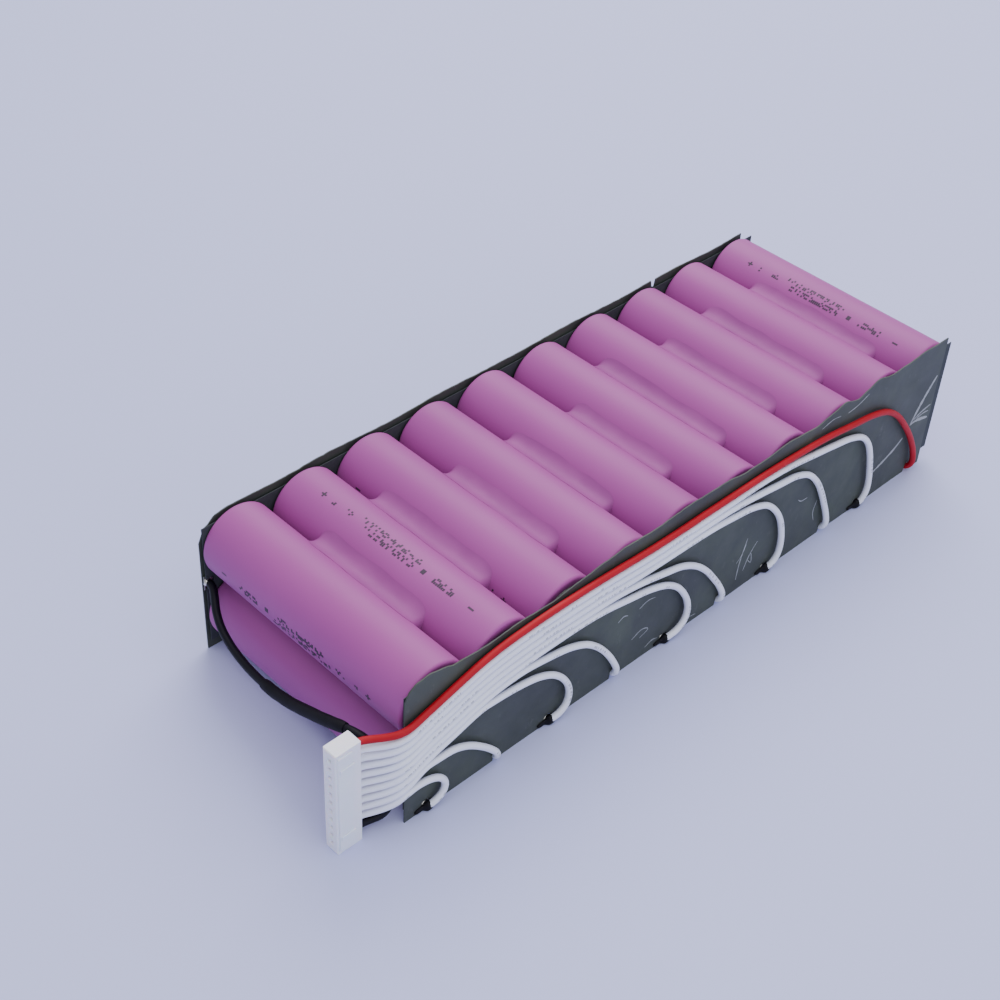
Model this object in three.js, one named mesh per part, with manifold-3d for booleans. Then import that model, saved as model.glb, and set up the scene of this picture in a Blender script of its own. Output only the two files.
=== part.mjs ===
// Battery pack of twenty cylindrical 18650 cells, ten series groups of two, with its balance harness.
// Millimetres, +Z up, +X along the row of cells. The wires leave over the front face, which is -Y.
// The origin is on the surface that the pack stands on, below the middle of the cell block.
import * as THREE from "three";
import { mergeVertices } from "three/addons/utils/BufferGeometryUtils.js";
import Module from "manifold-3d";

const wasm = await Module();
wasm.setup();

// ---------------------------------------------------------------- driving dimensions

const COLUMNS = 10;
const ROWS = 2;
const CELL_RADIUS = 9.175; // wrapped 18650
const CELL_LENGTH = 65;
const CELL_PITCH = 18.5;
const CELL_SIDES = 16;
const WRAP_LIP = 0.6; // how far the wrap rolls over the end of the can
const BUTTON_RADIUS = 4.2;
const BUTTON_WELL_RADIUS = 6.6;
const BUTTON_WELL_DEPTH = 1.1;
const LIFT = 1.9; // the papers carry the cells clear of the wires that run below them

const END_GAP = 0.2; // between one layer of an end face and the next
const GASKET_THICK = 0.2;
const NICKEL_THICK = 0.2;
const PAPER_THICK = 0.3;

const PAPER_LEFT = -92.4;
const PAPER_RIGHT = 88.2;
const FRONT_PAPER_TOP = 40;
const FRONT_PAPER_CORNER = 4;
const BACK_PAPER_TOP = 38.3;
const BACK_PAPER_CORNER = 6;
const NOTCH_WIDTH = 3;
const NOTCH_HEIGHT = 3;
const ODD_NOTCH_SHIFT = 0.5; // an odd tap's wire leaves its notch a little to the right
const GASKET_HALF_LENGTH = 91.9;
const GASKET_BOTTOM = 3;
const GASKET_TOP = 36.4;
const TERMINAL_HOLE_RADIUS = 6;
const SLIT_DEPTH = 2; // lets the black wire through the back gasket
const SLIT_WIDTH = 2.6;

const PLATE_MARGIN = 4.5; // from a cell's axis to the edge of its nickel plate
const TAB_WIDTH = 4;
const TAB_BOTTOM = 1;
const PAD_RADIUS = 2.4;
const PAD_SIDES = 8;
const WELD_GAP = 0.1;

const WIRE_DIAMETER = 1.6;
const BLACK_DIAMETER = 1.9; // the negative lead is the thicker one
const WIRE_SIDES = 8;
const WIRE_STEP = 2.5 * WIRE_DIAMETER;
const LANE_PITCH = 2; // between neighbouring wires of the flat ribbon
const PIN_PITCH = 2.5;
const FLOOR_RUN = 0.85; // height of the axis of a wire that lies under the cells
const MEET_GAP = 0.3; // between a wire's end and the metal that it meets

const BLACK_TAP_Z = 20.4; // height of the black wire's tap, between the two rows
const SLEEVE_DIAMETER = 2.9;
const SLEEVE_SIDES = 10;

const HOUSING_DEPTH = 6.6;
const HOUSING_THICK = 3.9;
const HOUSING_LENGTH = 29.9;
const HOUSING_ENTRY = -101.3; // X of the face that the wires go in at
const HOUSING_Y = -29.2;
const FIRST_PIN = 2.45; // height of the lowest contact
const CAVITY_DEPTH_Y = 2.5;
const CAVITY_HEIGHT = 2.2;
const CONTACT_WIDTH = 1.6;
const CONTACT_HEIGHT = 1.4;
const CONTACT_INSET = 0.5; // from the mating face
const RIB_PROUD = 0.5;
const RIB_HEIGHT = 1.2;
const RIB_FROM_END = 4.9;
const RIB_FROM_MATING_FACE = 0.8;
const RIB_FROM_ENTRY = 2;

// ---------------------------------------------------------------- worked-out places

const cellX = (column) => (column - (COLUMNS + 1) / 2) * CELL_PITCH;
const cellZ = (row) => LIFT + CELL_RADIUS + row * CELL_PITCH;
const CELL_END = CELL_LENGTH / 2;
const GASKET_IN = CELL_END + END_GAP;
const NICKEL_IN = GASKET_IN + GASKET_THICK + END_GAP;
const PAPER_IN = NICKEL_IN + NICKEL_THICK + END_GAP;
const PAPER_OUT = PAPER_IN + PAPER_THICK;
const FRONT = -1;
const BACK = 1;

// Where each tap wire passes the front paper's lower edge. Odd taps end on the front plates. Even taps
// and the red wire run on under the cells to the back plates.
const TAP_X = {
  1: -86.5, 2: -66, 3: -50.6, 4: -29.5, 5: -12.7, 6: 6.8, 7: 23.9, 8: 46.5, 9: 60.4, 10: 82.8,
};
const span = (middle, width) => [middle - width / 2, middle + width / 2];

// ---------------------------------------------------------------- materials

function material(color, roughness, metalness = 0) {
  return new THREE.MeshStandardMaterial({ color, roughness, metalness });
}

const WRAP = material(0xb478ae, 0.35);
const PAPER = material(0x464c50, 0.75);
const GASKET = material(0x3a3f44, 0.8);
const NICKEL = material(0xb9b8b2, 0.35, 1);
const WHITE_PVC = material(0xdfe2ea, 0.4);
const RED_PVC = material(0xc41f33, 0.4);
const BLACK_PVC = material(0x15131a, 0.4);
const NYLON = material(0xe2deea, 0.45);
const TIN = material(0xcfcdc6, 0.3, 1);

// ---------------------------------------------------------------- geometry helpers

function solid(geometry) {
  const bare = geometry.clone();
  bare.deleteAttribute("normal");
  bare.deleteAttribute("uv");
  const merged = mergeVertices(bare, 1e-4);
  const mesh = new wasm.Mesh({
    numProp: 3,
    vertProperties: merged.attributes.position.array,
    triVerts: new Uint32Array(merged.index.array),
  });
  return new wasm.Manifold(mesh);
}

function fromSolid(made) {
  const { vertProperties, triVerts } = made.getMesh();
  const geometry = new THREE.BufferGeometry();
  geometry.setAttribute("position", new THREE.BufferAttribute(new Float32Array(vertProperties), 3));
  geometry.setIndex(new THREE.BufferAttribute(new Uint32Array(triVerts), 1));
  const flat = geometry.toNonIndexed();
  flat.computeVertexNormals();
  return flat;
}

function box([x0, x1], [y0, y1], [z0, z1]) {
  const geometry = new THREE.BoxGeometry(x1 - x0, y1 - y0, z1 - z0);
  return geometry.translate((x0 + x1) / 2, (y0 + y1) / 2, (z0 + z1) / 2);
}

const group = new THREE.Group();
group.name = "battery_pack";

function add(name, geometry, look) {
  const mesh = new THREE.Mesh(geometry, look.clone());
  mesh.name = name;
  group.add(mesh);
  return mesh;
}

// A flat sheet in the XZ plane from a THREE.Shape, filling y0 to y1.
function sheet(shape, y0, y1) {
  const geometry = new THREE.ExtrudeGeometry(shape, {
    depth: y1 - y0,
    bevelEnabled: false,
    curveSegments: 4,
  });
  return geometry.rotateX(Math.PI / 2).translate(0, y1, 0);
}

// The layer of an end face that lies inner to outer millimetres from the cell block's middle.
function faceSpan(side, inner, thickness) {
  return side === FRONT ? [-inner - thickness, -inner] : [inner, inner + thickness];
}

// ---------------------------------------------------------------- cells

// Profile from the flat negative end to the raised positive button, as radius and place on the axis.
function cellProfile() {
  const end = CELL_END;
  const crimp = end - WRAP_LIP / 2; // the button stands a little proud of the crimped rim
  const well = end - BUTTON_WELL_DEPTH;
  return [
    [0, -end],
    [CELL_RADIUS - WRAP_LIP, -end],
    [CELL_RADIUS, -end + WRAP_LIP],
    [CELL_RADIUS, crimp - WRAP_LIP],
    [CELL_RADIUS - WRAP_LIP, crimp],
    [BUTTON_WELL_RADIUS, crimp],
    [BUTTON_WELL_RADIUS, well],
    [BUTTON_RADIUS, well],
    [BUTTON_RADIUS, end],
    [0, end],
  ];
}

function cells() {
  const toFacet = 1 / Math.cos(Math.PI / CELL_SIDES); // flats, not corners, lie at the cell's radius
  const points = cellProfile().map(([r, y]) => new THREE.Vector2(r * toFacet, y));
  const geometry = new THREE.LatheGeometry(points, CELL_SIDES, Math.PI / CELL_SIDES);
  for (let row = 0; row < ROWS; row++) {
    for (let column = 1; column <= COLUMNS; column++) {
      const name = (row ? "cell_top_" : "cell_bottom_") + String(column).padStart(2, "0");
      const mesh = add(name, geometry.clone(), WRAP);
      mesh.position.set(cellX(column), 0, cellZ(row));
      if (column % 2) mesh.rotation.z = Math.PI; // odd columns have their positive end at the front
    }
  }
}

// ---------------------------------------------------------------- nickel plates

// Each plate joins the cells of one or two columns. It has a weld pad on every cell end, and a tab
// that reaches down to the wire that taps it.
function nickelPlate(name, side, firstColumn, lastColumn, tab) {
  const [y0, y1] = faceSpan(side, NICKEL_IN, NICKEL_THICK);
  const x0 = cellX(firstColumn) - PLATE_MARGIN;
  const x1 = cellX(lastColumn) + PLATE_MARGIN;
  const z0 = cellZ(0) - PLATE_MARGIN;
  const z1 = cellZ(ROWS - 1) + PLATE_MARGIN;
  let plate = solid(box([x0, x1], [y0, y1], [z0, z1]));
  const padDepth = NICKEL_IN + NICKEL_THICK / 2 - CELL_END - WELD_GAP;
  const padMiddle = side * (CELL_END + WELD_GAP + padDepth / 2);
  for (let column = firstColumn; column <= lastColumn; column++) {
    for (let row = 0; row < ROWS; row++) {
      const pad = new THREE.CylinderGeometry(PAD_RADIUS, PAD_RADIUS, padDepth, PAD_SIDES);
      pad.translate(cellX(column), padMiddle, cellZ(row));
      plate = plate.add(solid(pad));
    }
  }
  plate = plate.add(solid(box(tab.x, [y0, y1], tab.z)));
  add(name, fromSolid(plate), NICKEL);
}

function downTab(x) {
  return { x: span(x, TAB_WIDTH), z: [TAB_BOTTOM, cellZ(0)] };
}

function nickel() {
  for (let plate = 1; plate <= 5; plate++) {
    const tap = 2 * plate - 1;
    nickelPlate(`nickel_front_${plate}`, FRONT, tap, tap + 1, downTab(TAP_X[tap]));
  }
  const endTab = { x: [PAPER_LEFT + END_GAP, cellX(1)], z: span(BLACK_TAP_Z, TAB_WIDTH) };
  nickelPlate("nickel_back_1", BACK, 1, 1, endTab);
  for (let plate = 2; plate <= 5; plate++) {
    const tap = 2 * plate - 2;
    nickelPlate(`nickel_back_${plate}`, BACK, tap, tap + 1, downTab(TAP_X[tap]));
  }
  nickelPlate("nickel_back_6", BACK, COLUMNS, COLUMNS, downTab(TAP_X[COLUMNS]));
}

// ---------------------------------------------------------------- gasket sheets and papers

function gasket(name, side) {
  const half = GASKET_HALF_LENGTH;
  const shape = new THREE.Shape();
  shape.moveTo(-half, GASKET_BOTTOM);
  shape.lineTo(half, GASKET_BOTTOM);
  shape.lineTo(half, GASKET_TOP);
  shape.lineTo(-half, GASKET_TOP);
  if (side === BACK) {
    const [low, high] = span(BLACK_TAP_Z, SLIT_WIDTH);
    shape.lineTo(-half, high);
    shape.lineTo(-half + SLIT_DEPTH, high);
    shape.lineTo(-half + SLIT_DEPTH, low);
    shape.lineTo(-half, low);
  }
  shape.closePath();
  for (let column = 1; column <= COLUMNS; column++) {
    for (let row = 0; row < ROWS; row++) {
      const hole = new THREE.Path();
      hole.absarc(cellX(column), cellZ(row), TERMINAL_HOLE_RADIUS, 0, 2 * Math.PI, true);
      shape.holes.push(hole);
    }
  }
  add(name, sheet(shape, ...faceSpan(side, GASKET_IN, GASKET_THICK)), GASKET);
}

// An outer paper. Its lower edge stands on the surface, with a notch for each wire that passes there.
function paper(name, side, top, corner, notches) {
  const shape = new THREE.Shape();
  shape.moveTo(PAPER_LEFT, 0);
  for (const x of [...notches].sort((a, b) => a - b)) {
    const [left, right] = span(x, NOTCH_WIDTH);
    shape.lineTo(left, 0);
    shape.lineTo(left, NOTCH_HEIGHT);
    shape.lineTo(right, NOTCH_HEIGHT);
    shape.lineTo(right, 0);
  }
  shape.lineTo(PAPER_RIGHT, 0);
  shape.lineTo(PAPER_RIGHT, top);
  shape.lineTo(PAPER_LEFT + corner, top);
  shape.absarc(PAPER_LEFT + corner, top - corner, corner, Math.PI / 2, Math.PI, false);
  shape.closePath();
  add(name, sheet(shape, ...faceSpan(side, PAPER_IN, PAPER_THICK)), PAPER);
}

// ---------------------------------------------------------------- wire routes

const RIBBON_Y = -PAPER_OUT - WIRE_DIAMETER / 2 - 0.25;
const WIRE_END_X = HOUSING_ENTRY - 1.7; // the wires end inside the housing, at their contacts
const pinZ = (pin) => FIRST_PIN + PIN_PITCH * pin;

// The flat ribbon's top lane, from right to left, as x and z on the front face.
const TOP_LANE = [
  [39.7, 34.1],
  [28, 35],
  [17.2, 35.4],
  [6, 35.4],
  [-3.9, 35.4],
  [-13, 35.3],
  [-23.7, 35.5],
  [-33, 36],
  [-42.6, 36.4],
  [-51.5, 36.5],
  [-60.4, 36.3],
  [-66.5, 35.9],
  [-72.5, 35],
  [-80, 33],
  [-87.6, 30.8],
];

// Past the corner of the pack the ribbon swings back to the connector and fans out to the pins:
// x, y, the top lane's z, and the pitch of the lanes.
const FAN = [
  [-92.4, -34.85, 29.6, 2.12],
  [-94.6, -33.95, 28.9, 2.25],
  [-96.5, -32.3, 28.2, 2.37],
  [-98.3, -30.6, 27.7, 2.46],
  [-100, -29.45, 27.5, 2.5],
  [-101.5, -29.2, 27.45, 2.5],
];

// Each wire's own hook, from the foot of the front paper up to the ribbon, as x, y and z.
const HOOKS = {
  10: [[82.9, -35.1, 3.95], [82, -35.1, 7.5], [79.9, -35.1, 11.8], [77, -35.1, 16.4], [73.2, -35.1, 21.4],
    [69.4, -35, 25.6], [64.4, -34.95, 29.2], [57.9, -34.95, 31.4], [49, -34.95, 32.8]],
  9: [[62.2, -35, 3.4], [62.8, -35.1, 6], [62.6, -35.1, 9], [61.9, -35.1, 12.4], [60.5, -35.1, 17.5],
    [58.3, -35.1, 22.5], [55.2, -35, 26], [50, -34.95, 28.4], [43, -34.95, 29.9], [34.5, -34.95, 31.4],
    [26, -34.95, 32.8]],
  8: [[46.3, -35.1, 3.95], [45.2, -35.1, 7.65], [43.3, -35.1, 12], [41, -35.1, 16.8], [38.1, -35.1, 21.5],
    [34.4, -35, 25.4], [29.2, -34.95, 27.9], [22.5, -34.95, 29], [14.5, -34.95, 30.2], [6, -34.95, 31.2]],
  7: [[26.1, -35, 2.9], [27.2, -35.1, 4.9], [27.5, -35.1, 8], [26.8, -35.1, 12.2], [25.2, -35.1, 16.9],
    [22.4, -35.1, 21.3], [18.7, -35, 24.8], [13.4, -34.95, 27], [6.5, -34.95, 28.2], [-1.4, -34.95, 29.1]],
  6: [[6.5, -35.1, 3.95], [4.8, -35.1, 7.65], [1.9, -35.1, 12], [-1.5, -35.1, 16.5], [-5.7, -35.1, 20.5],
    [-10.6, -34.95, 23.3], [-17, -34.95, 25.1], [-25, -34.95, 27]],
  5: [[-9.7, -35, 2.4], [-7.6, -35.1, 3.8], [-6.5, -35.1, 6.4], [-6.9, -35.1, 9.9], [-8.8, -35.1, 13.9],
    [-11.9, -35.1, 17.9], [-16.2, -35.1, 21], [-21.5, -34.95, 22.9], [-28.4, -34.95, 24.4],
    [-36, -34.95, 25.9]],
  4: [[-30.1, -35.1, 3.95], [-31.6, -35.1, 7.35], [-34.1, -35.1, 11.5], [-37.4, -35.1, 15.7],
    [-41.5, -35.1, 19.3], [-46.6, -34.95, 21.6], [-53, -34.95, 23.1], [-60.4, -34.95, 24.2]],
  3: [[-48.1, -35, 2.4], [-46.4, -35.1, 3.9], [-45.6, -35.1, 6.4], [-46.1, -35.1, 9.7], [-48.2, -35.1, 13.5],
    [-51.6, -35.1, 16.9], [-56.2, -35.05, 19.2], [-62, -34.95, 20.4], [-68.8, -34.95, 21.1]],
  2: [[-67.3, -35.1, 3.95], [-69.5, -35.1, 6.85], [-72.6, -35.1, 10], [-76.1, -35.1, 12.8],
    [-80, -35.05, 14.6], [-84, -34.95, 14.9]],
  1: [[-84.2, -35, 2.5], [-82.7, -35.1, 4], [-82.3, -35.1, 6.2], [-83.6, -35.1, 8.6], [-86.4, -35.1, 10.4],
    [-89.6, -34.95, 10.9]],
};

// Where each wire's own hook ends and its lane of the ribbon starts, as an index into TOP_LANE.
const FIRST_STATION = { 10: 0, 9: 2, 8: 4, 7: 5, 6: 7, 5: 8, 4: 11, 3: 12, 2: 14, 1: 15 };

// The run of an even tap or of the red wire, under the cells from the back plates to the front.
function floorRun(x, bottomX) {
  const stations = [NICKEL_IN - MEET_GAP, 26, 19, 12, 5, -2, -9, -16, -23, -28.5, -32];
  const run = stations.map((y) => [x, y, FLOOR_RUN]);
  const along = (share) => x + (bottomX - x) * share;
  return [...run, [along(0.3), -33.55, 1.28], [along(0.65), -34.72, 2.45]];
}

// The end of an odd tap, which lies against the tab of its front plate and comes out through the notch.
function frontEnd(x) {
  return [[x, -34.4, 1.2], [x + 0.9, -34.7, 1.75]];
}

function tapRoute(tap) {
  const lane = COLUMNS - tap;
  const hook = HOOKS[tap];
  const start = tap % 2 ? frontEnd(TAP_X[tap]) : floorRun(TAP_X[tap], hook[0][0]);
  const ribbon = TOP_LANE.slice(FIRST_STATION[tap]).map(([x, z]) => [x, RIBBON_Y, z - LANE_PITCH * lane]);
  const fan = FAN.map(([x, y, z, pitch]) => [x, y, z - pitch * lane]);
  return [...start, ...hook, ...ribbon, ...fan, [WIRE_END_X, HOUSING_Y, pinZ(tap)]];
}

// The black wire leaves the back face between the rows, droops across the left end, turns down behind
// the ribbon and hooks into the lowest pin.
const BLACK_ROUTE = [
  [-91.2, NICKEL_IN - MEET_GAP, BLACK_TAP_Z],
  [-91.4, 31.2, 20.3],
  [-92.6, 28.9, 19.6],
  [-94.2, 26.3, 18.4],
  [-95.6, 22.9, 17],
  [-96.7, 18.2, 15.8],
  [-97.5, 12.6, 15.2],
  [-98.1, 6.6, 15.4],
  [-98.6, 0.4, 16.5],
  [-98.9, -5.6, 18.2],
  [-99, -11.4, 20.4],
  [-99, -17, 22.6],
  [-98.7, -21.6, 24.3],
  [-98, -24.9, 24.8],
  [-97, -27.4, 23.9],
  [-96.1, -28.9, 21.2],
  [-95.3, -29.9, 17.6],
  [-94.7, -30.6, 13.6],
  [-94.2, -31, 9.8],
  [-93.9, -31.1, 6.6],
  [-94.5, -31, 4.1],
  [-96, -30.5, 2.6],
  [-98.3, -29.7, 2.25],
  [-101.3, HOUSING_Y, FIRST_PIN],
  [WIRE_END_X, HOUSING_Y, FIRST_PIN],
];
const SLEEVE_SPAN = [7.4, 12.4]; // points of BLACK_ROUTE between which the sleeve lies

function routeCurve(points) {
  return new THREE.CatmullRomCurve3(points.map((p) => new THREE.Vector3(...p)), false, "centripetal");
}

function circle(radius, sides) {
  const shape = new THREE.Shape();
  for (let i = 0; i < sides; i++) {
    const a = (2 * Math.PI * i) / sides;
    if (i) shape.lineTo(radius * Math.cos(a), radius * Math.sin(a));
    else shape.moveTo(radius, 0);
  }
  shape.closePath();
  return shape;
}

function tube(curve, section) {
  const steps = Math.round(curve.getLength() / WIRE_STEP);
  return new THREE.ExtrudeGeometry(section, { steps, bevelEnabled: false, extrudePath: curve });
}

function wires() {
  add("wire_black", tube(routeCurve(BLACK_ROUTE), circle(BLACK_DIAMETER / 2, WIRE_SIDES)), BLACK_PVC);
  const section = circle(WIRE_DIAMETER / 2, WIRE_SIDES);
  for (let tap = 1; tap < COLUMNS; tap++) {
    add(`wire_white_${tap}`, tube(routeCurve(tapRoute(tap)), section), WHITE_PVC);
  }
  add("wire_red", tube(routeCurve(tapRoute(COLUMNS)), section), RED_PVC);
}

function sleeve() {
  const whole = routeCurve(BLACK_ROUTE);
  const [first, last] = SLEEVE_SPAN;
  const places = Array.from({ length: 11 }, (_, i) => first + ((last - first) * i) / 10);
  const stretch = places.map((place) => whole.getPoint(place / (BLACK_ROUTE.length - 1)).toArray());
  const curve = routeCurve(stretch);
  const section = circle(SLEEVE_DIAMETER / 2, SLEEVE_SIDES);
  section.holes.push(circle(BLACK_DIAMETER / 2 + MEET_GAP, SLEEVE_SIDES));
  add("black_wire_sleeve", tube(curve, section), BLACK_PVC);
}

// ---------------------------------------------------------------- connector

function connector() {
  const matingFace = HOUSING_ENTRY - HOUSING_DEPTH;
  const outerFace = HOUSING_Y - HOUSING_THICK / 2;
  let housing = solid(box([matingFace, HOUSING_ENTRY], span(HOUSING_Y, HOUSING_THICK), [0, HOUSING_LENGTH]));
  const ribX = [matingFace + RIB_FROM_MATING_FACE, HOUSING_ENTRY - RIB_FROM_ENTRY];
  const ribY = [outerFace - RIB_PROUD, outerFace + RIB_PROUD];
  for (const z of [RIB_FROM_END, HOUSING_LENGTH - RIB_FROM_END]) {
    housing = housing.add(solid(box(ribX, ribY, span(z, RIB_HEIGHT))));
  }
  const cavityX = [matingFace - 1, HOUSING_ENTRY + 1]; // right through the housing, and past both faces
  const cavityY = span(HOUSING_Y, CAVITY_DEPTH_Y);
  const contactX = [matingFace + CONTACT_INSET, WIRE_END_X - MEET_GAP];
  const contactY = span(HOUSING_Y, CONTACT_WIDTH);
  for (let pin = 0; pin <= COLUMNS; pin++) {
    housing = housing.subtract(solid(box(cavityX, cavityY, span(pinZ(pin), CAVITY_HEIGHT))));
    const contact = box(contactX, contactY, span(pinZ(pin), CONTACT_HEIGHT));
    add("contact_" + String(pin + 1).padStart(2, "0"), contact, TIN);
  }
  add("connector_housing", fromSolid(housing), NYLON);
}

cells();
nickel();
gasket("front_gasket", FRONT);
gasket("back_gasket", BACK);
const frontNotches = Object.entries(TAP_X).map(([tap, x]) => (tap % 2 ? x + ODD_NOTCH_SHIFT : x));
paper("front_paper", FRONT, FRONT_PAPER_TOP, FRONT_PAPER_CORNER, frontNotches);
paper("back_paper", BACK, BACK_PAPER_TOP, BACK_PAPER_CORNER, []);
wires();
sleeve();
connector();

export default group;
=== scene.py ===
"""Battery pack of twenty wrapped 18650 cells, with its balance harness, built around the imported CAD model.

Lengths are millimetres until a piece is made, when MM turns them into Blender's metres.
"""
import math
import random

import bmesh
import bpy
from mathutils import Matrix, Vector, noise


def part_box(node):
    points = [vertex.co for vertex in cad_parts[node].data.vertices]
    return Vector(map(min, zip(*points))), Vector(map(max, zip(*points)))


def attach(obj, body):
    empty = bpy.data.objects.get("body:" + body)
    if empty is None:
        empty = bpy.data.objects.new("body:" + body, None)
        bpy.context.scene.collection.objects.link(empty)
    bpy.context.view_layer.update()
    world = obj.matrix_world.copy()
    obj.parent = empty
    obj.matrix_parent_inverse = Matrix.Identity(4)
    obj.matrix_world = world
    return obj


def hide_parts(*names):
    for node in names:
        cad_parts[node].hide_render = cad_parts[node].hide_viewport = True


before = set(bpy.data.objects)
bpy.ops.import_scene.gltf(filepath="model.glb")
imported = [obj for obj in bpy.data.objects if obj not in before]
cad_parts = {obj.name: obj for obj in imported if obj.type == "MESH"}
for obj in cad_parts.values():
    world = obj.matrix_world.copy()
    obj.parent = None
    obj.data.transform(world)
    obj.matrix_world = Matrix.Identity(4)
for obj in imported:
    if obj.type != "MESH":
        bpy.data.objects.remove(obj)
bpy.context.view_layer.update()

MM = 0.001
BODY = "root"
ROWS = ("bottom", "top")
COLUMNS = range(1, 11)


def span_of(node):
    """Lowest and highest corner of a CAD node, in millimetres."""
    low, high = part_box(node)
    return low / MM, high / MM


def middle_of(node):
    low, high = span_of(node)
    return (low + high) / 2


# ---------------------------------------------------------------- driving sizes, from the frame

cell_low, cell_high = span_of("cell_top_01")
CELL_RADIUS = (cell_high.z - cell_low.z) / 2
CELL_END = cell_high.y
CELL_PITCH = middle_of("cell_top_02").x - middle_of("cell_top_01").x
CELL_X = {column: middle_of(f"cell_top_{column:02d}").x for column in COLUMNS}
CELL_Z = {row: middle_of(f"cell_{row}_01").z for row in ROWS}
PAPER_LOW, PAPER_HIGH = span_of("front_paper")
PAPER_OUT = -PAPER_LOW.y
PAPER_THICK = PAPER_HIGH.y - PAPER_LOW.y
NICKEL_IN = span_of("nickel_back_2")[1].y - 0.2
HOUSING_LOW, HOUSING_HIGH = span_of("connector_housing")
HOUSING_ENTRY = HOUSING_HIGH.x
HOUSING_Y = middle_of("contact_01").y
FIRST_PIN = middle_of("contact_01").z
PIN_PITCH = middle_of("contact_02").z - FIRST_PIN

WIRE_DIAMETER = 1.6
BLACK_DIAMETER = 1.9
LANE_PITCH = 2
MEET_GAP = 0.3
FLOOR_RUN = 0.85
RIBBON_Y = -PAPER_OUT - 1.05
WIRE_END_X = HOUSING_ENTRY - 1.7

# ---------------------------------------------------------------- camera

TARGET = Vector((-21.7, 12.35, 18.5))
AZIMUTH = math.radians(-45.84)
ELEVATION = math.radians(40.51)
ROLL = math.radians(3.15)
DISTANCE = 404.9
LENS = 61.5


def make_camera():
    flat = math.cos(ELEVATION)
    back = Vector((math.sin(AZIMUTH) * flat, -math.cos(AZIMUTH) * flat, math.sin(ELEVATION)))
    data = bpy.data.cameras.new("camera")
    data.lens = LENS
    data.clip_start = 0.01
    camera = bpy.data.objects.new("camera", data)
    bpy.context.scene.collection.objects.link(camera)
    turn = (-back).to_track_quat("-Z", "Y").to_matrix().to_4x4() @ Matrix.Rotation(ROLL, 4, "Z")
    camera.matrix_world = Matrix.Translation((TARGET + back * DISTANCE) * MM) @ turn
    bpy.context.scene.camera = camera


make_camera()

# ---------------------------------------------------------------- materials


class Look:
    """A node material. Constants sit on the shader's own sockets, and what varies is linked to them."""

    def __init__(self, name, constants):
        self.material = bpy.data.materials.new(name)
        self.material.use_nodes = True
        self.tree = self.material.node_tree
        self.shader = self.tree.nodes["Principled BSDF"]
        for socket, value in constants.items():
            self.shader.inputs[socket].default_value = value

    def node(self, kind, inputs, **settings):
        made = self.tree.nodes.new("ShaderNode" + kind)
        for setting, value in settings.items():
            setattr(made, setting, value)
        for socket, value in inputs.items():
            if isinstance(value, bpy.types.NodeSocket):
                self.tree.links.new(value, made.inputs[socket])
            else:
                made.inputs[socket].default_value = value
        return made

    def places(self, stretch=(1, 1, 1)):
        """The point on the object in metres, squeezed along its axes."""
        where = self.node("TexCoord", {}).outputs["Object"]
        return self.node("Mapping", {"Vector": where, "Scale": stretch}).outputs["Vector"]

    def noise(self, scale, stretch=(1, 1, 1), detail=4, roughness=0.55, distortion=0):
        settings = {"Vector": self.places(stretch), "Scale": scale, "Detail": detail}
        settings["Roughness"] = roughness
        settings["Distortion"] = distortion
        return self.node("TexNoise", settings).outputs["Fac"]

    def ramp(self, factor, stops):
        made = self.node("ValToRGB", {"Fac": factor})
        line = made.color_ramp
        while len(line.elements) < len(stops):
            line.elements.new(0.5)
        for element, (place, colour) in zip(line.elements, stops):
            element.position = place
            element.color = (*colour, 1)
        return made.outputs["Color"]

    def math(self, operation, first, second=0.0, third=0.0):
        return self.node("Math", {0: first, 1: second, 2: third}, operation=operation).outputs[0]

    def between(self, factor, low, high):
        """A grey value that goes from low to high as factor goes from 0 to 1."""
        made = self.node("MapRange", {"Value": factor, "To Min": low, "To Max": high})
        return made.outputs["Result"]

    def blend(self, factor, first, second):
        """Colour first where factor is 0, and colour second where it is 1."""
        mixed = self.node("Mix", {0: factor}, data_type="RGBA")
        for socket, value in ((mixed.inputs[6], first), (mixed.inputs[7], second)):
            if isinstance(value, bpy.types.NodeSocket):
                self.tree.links.new(value, socket)
            else:
                socket.default_value = (*value, 1)
        return mixed.outputs[2]

    def wear(self, socket, value):
        self.tree.links.new(value, self.shader.inputs[socket])

    def bump(self, height, distance, strength=1.0, under=None):
        inputs = {"Height": height, "Distance": distance * MM, "Strength": strength}
        if under:
            inputs["Normal"] = under
        return self.node("Bump", inputs).outputs["Normal"]


def wrap_look():
    look = Look("cell_wrap", {"IOR": 1.45, "Specular IOR Level": 0.35})
    cloud = look.noise(28, (1, 0.5, 1), 3)
    look.wear("Base Color", look.ramp(cloud, [(0.3, (0.318, 0.058, 0.262)), (0.7, (0.358, 0.071, 0.293))]))
    haze = look.noise(90, (1, 0.25, 1), 5, 0.6)
    look.wear("Roughness", look.between(haze, 0.42, 0.6))
    pull = look.bump(look.noise(120, (1, 0.12, 1), 3), 0.05, 0.5)
    grain = look.bump(look.noise(1400, (1, 1, 1), 3), 0.012, 0.35, pull)
    look.wear("Normal", grain)
    return look.material


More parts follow.
